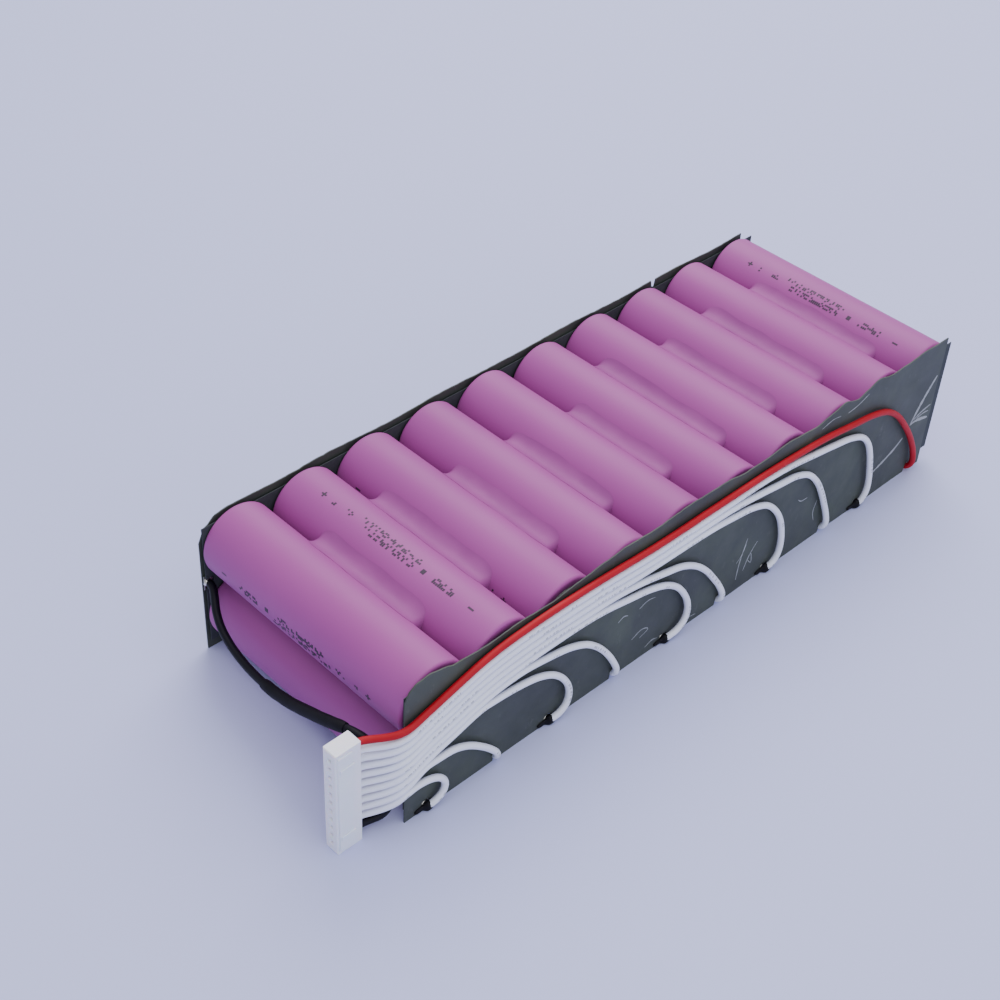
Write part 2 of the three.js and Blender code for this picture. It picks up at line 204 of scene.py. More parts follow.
def paper_look():
    look = Look("insulating_paper", {"IOR": 1.45})
    cloud = look.noise(55, (1, 1, 1), 6, 0.62, 0.4)
    base = look.ramp(cloud, [
        (0.32, (0.038, 0.044, 0.043)), (0.5, (0.048, 0.057, 0.050)), (0.7, (0.062, 0.077, 0.056)),
    ])
    fleck = look.ramp(look.noise(420, (1, 1, 0.5), 5, 0.7), [(0.62, (0, 0, 0)), (0.74, (1, 1, 1))])
    flecked = look.blend(look.math("MULTIPLY", fleck, 0.35), base, (0.15, 0.162, 0.15))
    look.wear("Base Color", flecked)
    look.wear("Roughness", look.between(look.noise(160, (1, 1, 1), 4), 0.45, 0.75))
    dents = look.bump(look.noise(70, (1, 1, 1), 3), 0.25, 0.5)
    fibres = look.bump(look.noise(900, (1, 1, 0.35), 5, 0.7), 0.05, 0.5, dents)
    look.wear("Normal", fibres)
    return look.material


def gasket_look():
    look = Look("gasket_sheet", {"IOR": 1.45})
    cloud = look.noise(300, (1, 1, 1), 6, 0.7)
    look.wear("Base Color", look.ramp(cloud, [(0.35, (0.028, 0.034, 0.040)), (0.65, (0.045, 0.054, 0.060))]))
    look.wear("Roughness", look.between(cloud, 0.7, 0.9))
    look.wear("Normal", look.bump(look.noise(1100, (1, 1, 0.4), 4, 0.7), 0.04, 0.6))
    return look.material


def metal_look(name, dark, light, low, high, stretch):
    look = Look(name, {"Metallic": 1.0})
    grain = look.noise(600, stretch, 5, 0.6)
    look.wear("Base Color", look.ramp(look.noise(120, (1, 1, 1), 4), [(0.3, dark), (0.7, light)]))
    look.wear("Roughness", look.between(grain, low, high))
    look.wear("Normal", look.bump(grain, 0.01, 0.4))
    return look.material


def plain_plastic(name, dark, light, low, high, extra=None):
    """Moulded or extruded plastic: a slight unevenness in colour, gloss and surface."""
    look = Look(name, {"IOR": 1.5, **(extra or {})})
    cloud = look.noise(140, (1, 1, 1), 5, 0.6)
    look.wear("Base Color", look.ramp(cloud, [(0.3, dark), (0.7, light)]))
    look.wear("Roughness", look.between(look.noise(500, (1, 1, 1), 4), low, high))
    look.wear("Normal", look.bump(look.noise(800, (1, 1, 1), 3), 0.02, 0.4))
    return look.material


def printed_wire_look():
    """White insulation with a faint broken row of printed dots on the side that faces away from the pack.

    The piece's "lie" attribute holds, for each point, the metres along the wire, the wire's number, and
    how squarely the surface there faces away from the pack."""
    look = Look("white_pvc", {"IOR": 1.5, "Subsurface Weight": 0.08, "Subsurface Scale": 0.001})
    look.shader.inputs["Subsurface Radius"].default_value = (1, 0.9, 0.9)
    lie = look.node("Attribute", {}, attribute_name="lie").outputs["Vector"]
    parts = look.node("SeparateXYZ", {"Vector": lie})
    along, number, facing = (parts.outputs[axis] for axis in "XYZ")
    shifted = look.math("MULTIPLY_ADD", number, 0.0137, along)
    spread = look.node("CombineXYZ", {"X": shifted, "Y": number})
    group = look.node("TexNoise", {"Vector": spread.outputs[0], "Scale": 70, "Detail": 1}).outputs["Fac"]
    printed = look.math("GREATER_THAN", group, 0.54)
    dots = look.node("TexNoise", {"Vector": spread.outputs[0], "Scale": 1300, "Detail": 2}).outputs["Fac"]
    dotted = look.math("GREATER_THAN", dots, 0.5)
    row = look.math("GREATER_THAN", facing, 0.93)
    ink = look.math("MULTIPLY", look.math("MULTIPLY", printed, dotted), row)
    cloud = look.noise(110, (1, 1, 1), 4)
    base = look.ramp(cloud, [(0.3, (0.84, 0.86, 0.99)), (0.7, (0.88, 0.90, 1.0))])
    look.wear("Base Color", look.blend(look.math("MULTIPLY", ink, 0.55), base, (0.18, 0.18, 0.2)))
    look.wear("Roughness", look.between(look.noise(420, (1, 1, 1), 4), 0.32, 0.5))
    look.wear("Normal", look.bump(look.noise(500, (1, 1, 1), 3), 0.02, 0.4))
    return look.material


def adhesive_look():
    """A thin clear film, which shows the colour of the wraps below it a little greyer."""
    look = Look("clear_adhesive", {"IOR": 1.46, "Specular IOR Level": 0.25})
    cloud = look.noise(130, (1, 0.5, 1), 5, 0.6)
    look.wear("Base Color", look.ramp(cloud, [(0.3, (0.265, 0.055, 0.225)), (0.7, (0.315, 0.068, 0.262))]))
    look.wear("Roughness", look.between(look.noise(300, (1, 0.4, 1), 4), 0.48, 0.66))
    look.wear("Normal", look.bump(look.noise(260, (1, 0.4, 1), 4), 0.08, 0.5))
    return look.material


WRAP = wrap_look()
PAPER = paper_look()
GASKET = gasket_look()
NICKEL = metal_look("nickel", (0.56, 0.55, 0.52), (0.66, 0.65, 0.62), 0.22, 0.42, (0.08, 1, 1))
STEEL = metal_look("plated_steel", (0.50, 0.50, 0.50), (0.62, 0.62, 0.62), 0.25, 0.45, (1, 1, 1))
TIN = metal_look("tinned_contact", (0.64, 0.63, 0.6), (0.74, 0.73, 0.7), 0.2, 0.38, (0.15, 1, 1))
WHITE_PVC = printed_wire_look()
RED_PVC = plain_plastic(
    "red_pvc", (0.37, 0.0, 0.008), (0.44, 0.001, 0.013), 0.5, 0.65,
    {"Specular IOR Level": 0.3},
)
BLACK_PVC = plain_plastic(
    "black_pvc", (0.002, 0.002, 0.005), (0.005, 0.004, 0.009), 0.4, 0.6,
    {"Specular IOR Level": 0.2},
)
SLEEVE = plain_plastic(
    "shrink_sleeve", (0.002, 0.002, 0.004), (0.005, 0.004, 0.008), 0.5, 0.7,
    {"Specular IOR Level": 0.2},
)
NYLON_EXTRA = {"Subsurface Weight": 0.25, "Subsurface Scale": 0.002}
NYLON = plain_plastic("connector_nylon", (0.88, 0.85, 0.97), (0.92, 0.89, 0.99), 0.4, 0.6, NYLON_EXTRA)
RING_PAPER = plain_plastic("insulator_ring", (0.66, 0.66, 0.62), (0.74, 0.74, 0.7), 0.7, 0.9)
ADHESIVE = adhesive_look()
INK = plain_plastic("black_ink", (0.026, 0.008, 0.030), (0.042, 0.014, 0.045), 0.45, 0.7)
SCUFF = plain_plastic("scuffed_fibre", (0.24, 0.255, 0.27), (0.40, 0.42, 0.44), 0.6, 0.8)

# ---------------------------------------------------------------- mesh helpers


def piece(name, shape, looks, face_looks=None, sharp=38, stands_for=()):
    """A mesh piece from points in millimetres and faces, riding on the pack's one body."""
    points, faces = shape
    mesh = bpy.data.meshes.new(name)
    mesh.from_pydata([Vector(p) * MM for p in points], [], faces)
    for look in looks:
        mesh.materials.append(look)
    if face_looks:
        mesh.polygons.foreach_set("material_index", face_looks)
    skin = bmesh.new()
    skin.from_mesh(mesh)
    bmesh.ops.recalc_face_normals(skin, faces=skin.faces[:])
    skin.to_mesh(mesh)
    skin.free()
    mesh.polygons.foreach_set("use_smooth", [True] * len(faces))
    mesh.set_sharp_from_angle(angle=math.radians(sharp))
    made = bpy.data.objects.new(name, mesh)
    bpy.context.scene.collection.objects.link(made)
    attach(made, BODY)
    if stands_for:
        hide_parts(*stands_for)
    return made


def loft(rings, caps=True):
    """A skin over closed rings of equal length, with its ends closed."""
    count = len(rings[0])
    faces = []
    for i in range(len(rings) - 1):
        for j in range(count):
            a = i * count + j
            b = i * count + (j + 1) % count
            faces.append((a, b, b + count, a + count))
    if caps:
        last = (len(rings) - 1) * count
        faces.append(tuple(reversed(range(count))))
        faces.append(tuple(range(last, last + count)))
    return [p for ring in rings for p in ring], faces


def together(shapes):
    points, faces = [], []
    for shape_points, shape_faces in shapes:
        first = len(points)
        points += shape_points
        faces += [tuple(first + i for i in face) for face in shape_faces]
    return points, faces


def catmull(points, per_span=8):
    """Points along a centripetal Catmull-Rom curve, the same curve that the CAD tubes follow."""
    points = [Vector(p) for p in points]
    points = [2 * points[0] - points[1], *points, 2 * points[-1] - points[-2]]
    line = []
    for p0, p1, p2, p3 in zip(points, points[1:], points[2:], points[3:]):
        d0, d1, d2 = (math.sqrt((b - a).length) for a, b in ((p0, p1), (p1, p2), (p2, p3)))
        t1 = ((p1 - p0) / d0 - (p2 - p0) / (d0 + d1) + (p2 - p1) / d1) * d1
        t2 = ((p2 - p1) / d1 - (p3 - p1) / (d1 + d2) + (p3 - p2) / d2) * d1
        for i in range(per_span):
            t = i / per_span
            cubic = p1 + t1 * t + (3 * (p2 - p1) - 2 * t1 - t2) * t**2 + (2 * (p1 - p2) + t1 + t2) * t**3
            line.append(cubic)
    return [*line, points[-2]]


def evenly(line, step):
    """The same line with its points about one step apart."""
    lengths = [0]
    for a, b in zip(line, line[1:]):
        lengths.append(lengths[-1] + (b - a).length)
    count = max(2, round(lengths[-1] / step))
    spaced, k = [], 0
    for i in range(count + 1):
        want = lengths[-1] * i / count
        while k < len(line) - 2 and lengths[k + 1] < want:
            k += 1
        share = (want - lengths[k]) / (lengths[k + 1] - lengths[k])
        spaced.append(line[k].lerp(line[k + 1], share))
    return spaced


def tube_rings(line, radius_at, sides):
    """Rings of points round a line, with no twist from one to the next. radius_at takes share and angle."""
    rings = []
    up = Vector((0, 0, 1))
    for i, p in enumerate(line):
        ahead = (line[min(i + 1, len(line) - 1)] - line[max(i - 1, 0)]).normalized()
        side = ahead.cross(up)
        if side.length < 1e-3:
            side = ahead.cross(Vector((0, 1, 0)))
        side.normalize()
        up = side.cross(ahead).normalized()
        share = i / (len(line) - 1)
        ring = []
        for j in range(sides):
            a = 2 * math.pi * j / sides
            ring.append(p + (side * math.cos(a) + up * math.sin(a)) * radius_at(share, a))
        rings.append(ring)
    return rings


# ---------------------------------------------------------------- the wires' routes, as in the CAD source

TAP_X = {1: -86.5, 2: -66, 3: -50.6, 4: -29.5, 5: -12.7, 6: 6.8, 7: 23.9, 8: 46.5, 9: 60.4, 10: 82.8}

TOP_LANE = [
    (39.7, 34.1), (28, 35), (17.2, 35.4), (6, 35.4), (-3.9, 35.4), (-13, 35.3), (-23.7, 35.5), (-33, 36),
    (-42.6, 36.4), (-51.5, 36.5), (-60.4, 36.3), (-66.5, 35.9), (-72.5, 35), (-80, 33), (-87.6, 30.8),
]
# x, y, the top lane's z, and the pitch of the lanes, where the ribbon swings back and fans out to the pins
FAN = [
    (-92.4, -34.85, 29.6, 2.12), (-94.6, -33.95, 28.9, 2.25), (-96.5, -32.3, 28.2, 2.37),
    (-98.3, -30.6, 27.7, 2.46), (-100, -29.45, 27.5, 2.5), (-101.5, -29.2, 27.45, 2.5),
]
HOOKS = {
    10: [(82.9, -35.1, 3.95), (82, -35.1, 7.5), (79.9, -35.1, 11.8), (77, -35.1, 16.4), (73.2, -35.1, 21.4),
         (69.4, -35, 25.6), (64.4, -34.95, 29.2), (57.9, -34.95, 31.4), (49, -34.95, 32.8)],
    9: [(62.2, -35, 3.4), (62.8, -35.1, 6), (62.6, -35.1, 9), (61.9, -35.1, 12.4), (60.5, -35.1, 17.5),
        (58.3, -35.1, 22.5), (55.2, -35, 26), (50, -34.95, 28.4), (43, -34.95, 29.9), (34.5, -34.95, 31.4),
        (26, -34.95, 32.8)],
    8: [(46.3, -35.1, 3.95), (45.2, -35.1, 7.65), (43.3, -35.1, 12), (41, -35.1, 16.8), (38.1, -35.1, 21.5),
        (34.4, -35, 25.4), (29.2, -34.95, 27.9), (22.5, -34.95, 29), (14.5, -34.95, 30.2), (6, -34.95, 31.2)],
    7: [(26.1, -35, 2.9), (27.2, -35.1, 4.9), (27.5, -35.1, 8), (26.8, -35.1, 12.2), (25.2, -35.1, 16.9),
        (22.4, -35.1, 21.3), (18.7, -35, 24.8), (13.4, -34.95, 27), (6.5, -34.95, 28.2),
        (-1.4, -34.95, 29.1)],
    6: [(6.5, -35.1, 3.95), (4.8, -35.1, 7.65), (1.9, -35.1, 12), (-1.5, -35.1, 16.5), (-5.7, -35.1, 20.5),
        (-10.6, -34.95, 23.3), (-17, -34.95, 25.1), (-25, -34.95, 27)],
    5: [(-9.7, -35, 2.4), (-7.6, -35.1, 3.8), (-6.5, -35.1, 6.4), (-6.9, -35.1, 9.9), (-8.8, -35.1, 13.9),
        (-11.9, -35.1, 17.9), (-16.2, -35.1, 21), (-21.5, -34.95, 22.9), (-28.4, -34.95, 24.4),
        (-36, -34.95, 25.9)],
    4: [(-30.1, -35.1, 3.95), (-31.6, -35.1, 7.35), (-34.1, -35.1, 11.5), (-37.4, -35.1, 15.7),
        (-41.5, -35.1, 19.3), (-46.6, -34.95, 21.6), (-53, -34.95, 23.1), (-60.4, -34.95, 24.2)],
    3: [(-48.1, -35, 2.4), (-46.4, -35.1, 3.9), (-45.6, -35.1, 6.4), (-46.1, -35.1, 9.7),
        (-48.2, -35.1, 13.5),
        (-51.6, -35.1, 16.9), (-56.2, -35.05, 19.2), (-62, -34.95, 20.4), (-68.8, -34.95, 21.1)],
    2: [(-67.3, -35.1, 3.95), (-69.5, -35.1, 6.85), (-72.6, -35.1, 10), (-76.1, -35.1, 12.8),
        (-80, -35.05, 14.6), (-84, -34.95, 14.9)],
    1: [(-84.2, -35, 2.5), (-82.7, -35.1, 4), (-82.3, -35.1, 6.2), (-83.6, -35.1, 8.6), (-86.4, -35.1, 10.4),
        (-89.6, -34.95, 10.9)],
}
FIRST_STATION = {10: 0, 9: 2, 8: 4, 7: 5, 6: 7, 5: 8, 4: 11, 3: 12, 2: 14, 1: 15}
BLACK_ROUTE = [
    (-91.2, NICKEL_IN - MEET_GAP, 20.4), (-91.4, 31.2, 20.3), (-92.6, 28.9, 19.6), (-94.2, 26.3, 18.4),
    (-95.6, 22.9, 17), (-96.7, 18.2, 15.8), (-97.5, 12.6, 15.2), (-98.1, 6.6, 15.4), (-98.6, 0.4, 16.5),
    (-98.9, -5.6, 18.2), (-99, -11.4, 20.4), (-99, -17, 22.6), (-98.7, -21.6, 24.3), (-98, -24.9, 24.8),
    (-97, -27.4, 23.9), (-96.1, -28.9, 21.2), (-95.3, -29.9, 17.6), (-94.7, -30.6, 13.6), (-94.2, -31, 9.8),
    (-93.9, -31.1, 6.6), (-94.5, -31, 4.1), (-96, -30.5, 2.6), (-98.3, -29.7, 2.25),
    (-101.3, HOUSING_Y, FIRST_PIN), (WIRE_END_X, HOUSING_Y, FIRST_PIN),
]
SLEEVE_SPAN = (7.4, 12.4)  # points of BLACK_ROUTE between which the sleeve lies


def floor_run(x, bottom_x):
    """Under the cells, from a back plate to the foot of the front paper."""
    stations = [NICKEL_IN - MEET_GAP, 26, 19, 12, 5, -2, -9, -16, -23, -28.5, -32]

    def along(share):
        return x + (bottom_x - x) * share

    return [*((x, y, FLOOR_RUN) for y in stations), (along(0.3), -33.55, 1.28), (along(0.65), -34.72, 2.45)]


def front_end(x):
    """Against the tab of a front plate, and out through the paper's notch."""
    return [(x, -34.4, 1.2), (x + 0.9, -34.7, 1.75)]


def tap_route(tap):
    lane = len(COLUMNS) - tap
    hook = HOOKS[tap]
    start = front_end(TAP_X[tap]) if tap % 2 else floor_run(TAP_X[tap], hook[0][0])
    ribbon = [(x, RIBBON_Y, z - LANE_PITCH * lane) for x, z in TOP_LANE[FIRST_STATION[tap]:]]
    fan = [(x, y, z - pitch * lane) for x, y, z, pitch in FAN]
    end = (WIRE_END_X, HOUSING_Y, FIRST_PIN + PIN_PITCH * tap)
    return [*start, *hook, *ribbon, *fan, end]


def balance_wire(name, number, route, look, slot, node, diameter=WIRE_DIAMETER):
    """One insulated wire, as a tube."""
    line = evenly(catmull(route), 0.9)
    radius = diameter / 2

    def radius_at(share, angle):
        end = min(share, 1 - share) * len(line)
        return radius * (0.93 if end < 0.5 else 1)

    rings = tube_rings(line, radius_at, 18)
    made = piece(name, loft(rings), [look], stands_for=[node])
    lie = made.data.attributes.new("lie", "FLOAT_VECTOR", "POINT")
    values = []
    along = 0
    for i, (p, ring) in enumerate(zip(line, rings)):
        along += (p - line[i - 1]).length if i else 0
        for q in ring:
            values += [along * MM, number, -(q - p).normalized().y]
    lie.data.foreach_set("vector", values)
    return made, line, diameter


black_facts = ("wire_black_insulation", 0, BLACK_ROUTE, BLACK_PVC, "black_pvc", "wire_black")
cords = {"black": balance_wire(*black_facts, diameter=BLACK_DIAMETER)}
for tap in COLUMNS:
    if tap == 10:
        made = balance_wire("wire_red_insulation", tap, tap_route(tap), RED_PVC, "red_pvc", "wire_red")
    else:
        name = f"wire_white_{tap}"
        made = balance_wire(name + "_insulation", tap, tap_route(tap), WHITE_PVC, "white_pvc", name)
    cords[tap] = made

# ---------------------------------------------------------------- cells

CELL_SIDES = 72
BODY_STATIONS = 44
WRAP_WAVE = 0.035  # the shrunk film lies this far in and out of a true cylinder


def wrap_radius(seed, angle, y):
    wave = noise.noise(Vector((1.4 * math.cos(angle), 1.4 * math.sin(angle), y / 15 + 7.3 * seed)))
    return CELL_RADIUS - WRAP_WAVE + WRAP_WAVE * wave


def cell_profile():
    """Radius, place on the axis and look of each profile point, from the negative end to the button."""
    end = CELL_END
    profile = [
        (0, -end + 0.14, 1), (6.5, -end + 0.14, 1), (6.72, -end + 0.02, 0), (7.6, -end, 0),
        (8.35, -end + 0.02, 0),
    ]
    for degrees in (20, 40, 60, 80):
        a = math.radians(degrees)
        profile.append((8.35 + 0.8 * math.sin(a), -end + 0.8 - 0.8 * math.cos(a), 0))
    rim = end - 0.3
    body = 2 * (rim - 0.8)
    for i in range(BODY_STATIONS + 1):
        profile.append((None, -rim + 0.8 + body * i / BODY_STATIONS, 0))
    for degrees in (80, 60, 40, 20):
        a = math.radians(degrees)
        profile.append((8.35 + 0.8 * math.sin(a), rim - 0.8 + 0.8 * math.cos(a), 0))
    profile += [(8.3, rim, 0), (7.5, rim, 0), (7.05, rim - 0.03, 0), (7, rim - 0.16, 2), (4.9, rim - 0.16, 2)]
    profile += [
        (4.75, rim - 0.75, 1), (4.3, rim - 0.8, 1), (4.1, end - 0.3, 1), (3.85, end - 0.03, 1),
        (3.4, end, 1),
    ]
    profile.append((0, end, 1))
    return profile


def make_cell(row, column):
    seed = column + 20 * ROWS.index(row)
    way = -1 if column % 2 else 1  # odd columns have their positive end at the front
    x, z = CELL_X[column], CELL_Z[row]
    rings, looks = [], []
    for radius, y, look in cell_profile():
        ring = []
        for j in range(CELL_SIDES):
            a = 2 * math.pi * j / CELL_SIDES
            r = wrap_radius(seed, way * a, way * y) if radius is None else max(radius, 0.01)
            if radius is not None and 6.6 < radius < 7.7:  # the film's cut edge is not quite round
                r += 0.12 * noise.noise(Vector((2 * math.cos(a), 2 * math.sin(a), 3.1 * seed + y)))
            ring.append((x + r * math.cos(a) * way, way * y, z - r * math.sin(a)))
        rings.append(ring)
        looks.append(look)
    points, faces = loft(rings)
    face_looks = [max(looks[i], looks[i + 1]) for i in range(len(rings) - 1) for _ in range(CELL_SIDES)]
    face_looks += [1, 1]
    node = f"cell_{row}_{column:02d}"
    name = f"{row}_cell_{column:02d}"
    piece(name, (points, faces), [WRAP, STEEL, RING_PAPER], face_looks, stands_for=[node])


for row in ROWS:
    for column in COLUMNS:
        make_cell(row, column)

# ---------------------------------------------------------------- printed marks on the cells

INK_THICK = 0.03
# where each upper cell's marks lie, in degrees from the top, clockwise as seen from the front
MARK_ANGLES = {1: -95, 2: -8, 3: -76, 10: -26}


def ink_patch(seed, x, z, y0, y1, a0, a1):
    """A thin printed patch that follows the wrap, from y0 to y1 and from angle a0 to a1."""
    steps = max(1, round(abs(a1 - a0) / 3))
    rings = []
    for y in (y0, y1):
        outer, inner = [], []
        for i in range(steps + 1):
            a = math.radians(a0 + (a1 - a0) * i / steps)
            polar = math.atan2(-math.cos(a), math.sin(a))
            r = wrap_radius(seed, polar, y)
            for line, lift in ((outer, INK_THICK), (inner, -INK_THICK)):
                line.append((x + (r + lift) * math.sin(a), y, z + (r + lift) * math.cos(a)))
        rings.append(outer + inner[::-1])
    return loft(rings)


def mark_cell(row, column):
    """A plus sign, two rows of bars and dots, a short group of bars, and a dash, none of them letters."""
    seed = column + 20 * ROWS.index(row)
    drawn = random.Random(seed)
    x, z = CELL_X[column], CELL_Z[row]
    way = -1 if column % 2 else 1
    default = drawn.uniform(100, 250)
    angle = MARK_ANGLES.get(column, default) if row == "top" else default
    shapes = []

    def patch(y, width, offset, height):
        """width runs along the cell and height round it, both in millimetres."""
        a = angle + way * math.degrees(offset / CELL_RADIUS)
        half = math.degrees(height / 2 / CELL_RADIUS)
        ends = sorted((way * (y - width / 2), way * (y + width / 2)))
        shapes.append(ink_patch(seed, x, z, *ends, a - half, a + half))

    def bars(first, last, offset, tall):
        """A row of short bars at three heights, as a coarse printed code."""
        y = first
        while y > last:
            for level in drawn.sample((-1, 0, 1), drawn.choice((1, 2, 2))):
                patch(y, 0.46, offset + level * tall / 3, tall / 2.8)
            y -= drawn.choice((0.56, 0.56, 1.1))

    patch(22.6, 1.5, -0.2, 0.42)
    patch(22.6, 0.42, -0.2, 1.5)
    bars(19.2, 18.6, -0.3, 1.3)
    bars(15, 12.6, 0, 1.3)
    bars(10.4, -8.3, 0.95, 1.45)
    bars(8.4, -7.2, -0.95, 1.45)
    patch(-10.1, 1.1, -0.5, 1.2)
    bars(-13.5, -20, -0.4, 1.7)
    patch(-24.7, 1.6, -0.6, 0.45)
    piece(f"{row}_marks_{column:02d}", together(shapes), [INK])


for row in ROWS:
    for column in COLUMNS:
        mark_cell(row, column)

# ---------------------------------------------------------------- adhesive in the furrows

# from the back to the front, where each upper bead starts and ends
UPPER_BEADS = {
    1: (16.5, -17.5), 2: (18.5, -18), 3: (14.5, -19.5), 4: (14.5, -18.5), 5: (12.5, -19.5),
    6: (21, -20), 7: (16.5, -20), 8: (19, -20), 9: (18.5, -22),
}
BEAD_STATIONS = 60
BEAD_ACROSS = 18
BEAD_REACH = 2.9
BEAD_SAG = 1.3


def bead(name, furrow, z, up, y_back, y_front, reach, seed):
    """Adhesive between two neighbouring cells. reach is how far it spreads each way from the furrow."""
    drawn = random.Random(seed)
    x = (CELL_X[furrow] + CELL_X[furrow + 1]) / 2
    phase = drawn.uniform(0, 50)
    rings = []
    for i in range(BEAD_STATIONS + 1):
        y = y_back + (y_front - y_back) * i / BEAD_STATIONS
        from_end = min(y_back - y, y - y_front)
        rounding = math.sqrt(max(0, 1 - (1 - min(1, from_end / 3.6)) ** 2))
        sides = []
        for side in (-1, 1):
            wobble = 1 + 0.16 * noise.noise(Vector((y / 7 + phase, side * 3.7, seed)))
            sides.append(side * (1.2 + (reach - 1.2) * rounding) * wobble)
        left, right = sides
        top, under = [], []
        for j in range(BEAD_ACROSS + 1):
            share = j / BEAD_ACROSS
            dx = left + (right - left) * share
            on_left = math.sqrt(CELL_RADIUS**2 - (CELL_PITCH / 2 + left) ** 2)
            on_right = math.sqrt(CELL_RADIUS**2 - (CELL_PITCH / 2 - right) ** 2)
            level = on_left + (on_right - on_left) * share
            sag = BEAD_SAG * 4 * share * (1 - share) * (right - left) / (2 * reach)
            ripple = 0.07 * noise.noise(Vector((dx / 2.2, y / 3.1 + phase, seed)))
            top.append((x + dx, y, z + up * (level - sag + ripple)))
            off = CELL_PITCH / 2 - abs(dx)
            wall = math.sqrt(max(0, CELL_RADIUS**2 - off**2)) if off < CELL_RADIUS else 0
            under.append((x + dx, y, z + up * (min(wall, level - sag) - 0.12)))
        ring = top + under[::-1]
        rings.append(ring if up > 0 else ring[::-1])
    piece(name, loft(rings), [ADHESIVE], sharp=60)


for furrow, (y_back, y_front) in UPPER_BEADS.items():
    bead(f"upper_bead_{furrow}", furrow, CELL_Z["top"], 1, y_back, y_front, BEAD_REACH, furrow)
    lower_ends = 17 - furrow % 3, furrow % 4 - 20
    bead(f"lower_bead_{furrow}", furrow, CELL_Z["bottom"], -1, *lower_ends, BEAD_REACH, 40 + furrow)

# ---------------------------------------------------------------- insulating papers

PAPER_LEFT = PAPER_LOW.x
PAPER_RIGHT = PAPER_HIGH.x
# top edges as hand-cut, as x and z
FRONT_TOP = [
    (PAPER_LEFT, 33.5), (-92.3, 36), (-91.2, 38.2), (-89, 39.4), (-86.5, 39.8), (-83, 39.2), (-79, 38.1),
    (-70, 37.4), (-61, 37.9), (-52, 37.6), (-44, 38.5), (-35, 39.3), (-30, 39.8), (-20, 39.3), (-9, 39.9),
    (3, 39.6), (10.5, 38.5), (16, 38.6), (25, 39.5), (30, 39), (35.5, 38.4), (42, 39.3), (46, 40.3),
    (52, 38.6), (55.5, 39.6), (59.5, 40.8), (65, 39.4), (72, 39.6), (79, 40.1), (84, 39.8),
    (PAPER_RIGHT, 39.9),
]
BACK_TOP = [
    (PAPER_LEFT, 32), (-90.5, 35.6), (-87.5, 37.6), (-84, 38.1), (-70, 37.8), (-55, 38.2), (-38, 37.7),
    (-20, 38.2), (0, 37.9), (18, 38.3), (40, 37.9), (51.9, 38.2), (52.3, 36.3),
    (53.2, 36), (53.7, 38.2), (60, 38.3), (76, 37.8), (PAPER_RIGHT, 38.1),
]
EVEN_NOTCH = (-1.15, 1.15, 2.7)  # from the tap's x to the notch's left and right edges, and its height
ODD_NOTCH = (-1.6, 1.7, 2.7)


def height_on(edge, x):
    for (x0, z0), (x1, z1) in zip(edge, edge[1:]):
        if x0 <= x <= x1:
            t = (x - x0) / (x1 - x0)
            return z0 + (z1 - z0) * t * t * (3 - 2 * t)
    return edge[-1][1]


def foot_of(notches, x):
    for left, right, high in notches:
        if left < x < right:
            across = 2 * (x - left) / (right - left) - 1
            return high * (1 - across**4)
    return 0


def paper_middle(side, seed, x, z):
    """Where the middle of a waving paper lies, as y."""
    wave = 0.16 * noise.noise(Vector((x / 17, z / 13, seed)))
    curl = 0.35 * max(0, z / PAPER_HIGH.z - 0.85) * noise.noise(Vector((x / 9, 0.3, seed)))
    return side * (PAPER_OUT - PAPER_THICK / 2 + wave + curl)


def make_paper(name, side, edge, notches, seed):
    """A thin sheet that waves a little, with a rough-cut top edge and a notch over each wire."""
    end = edge[-1][0]
    stations = {x for x, _ in edge}
    grid = (PAPER_LEFT + 1.4 * i for i in range(1, int((end - PAPER_LEFT) / 1.4)))
    stations.update(x for x in grid if min(abs(x - corner) for corner, _ in edge) > 0.4)
    for left, right, _ in notches:
        stations = {x for x in stations if not left - 0.3 < x < right + 0.3}
        stations.update(left + (right - left) * i / 12 for i in range(13))
    stations = sorted(stations)
    levels = 22
    rings = []
    for x in stations:
        low = foot_of(notches, x)
        high = height_on(edge, x) + 0.16 * noise.noise(Vector((x / 1.6, 4.4, seed)))
        outer, inner = [], []
        for i in range(levels + 1):
            z = low + (high - low) * i / levels
            y = paper_middle(side, seed, x, z)
            outer.append((x, y + side * PAPER_THICK / 2, z))
            inner.append((x, y - side * PAPER_THICK / 2, z))
        ring = outer + inner[::-1]
        rings.append(ring if side < 0 else ring[::-1])
    return piece(name + "_sheet", loft(rings), [PAPER], sharp=50, stands_for=[name])


front_notches = []
for tap, x in TAP_X.items():
    left, right, high = ODD_NOTCH if tap % 2 else EVEN_NOTCH
    front_notches.append((x + left, x + right, high))
FRONT_SEED = 3
BACK_SEED = 8
make_paper("front_paper", -1, FRONT_TOP, front_notches, FRONT_SEED)
make_paper("back_paper", 1, BACK_TOP, [], BACK_SEED)

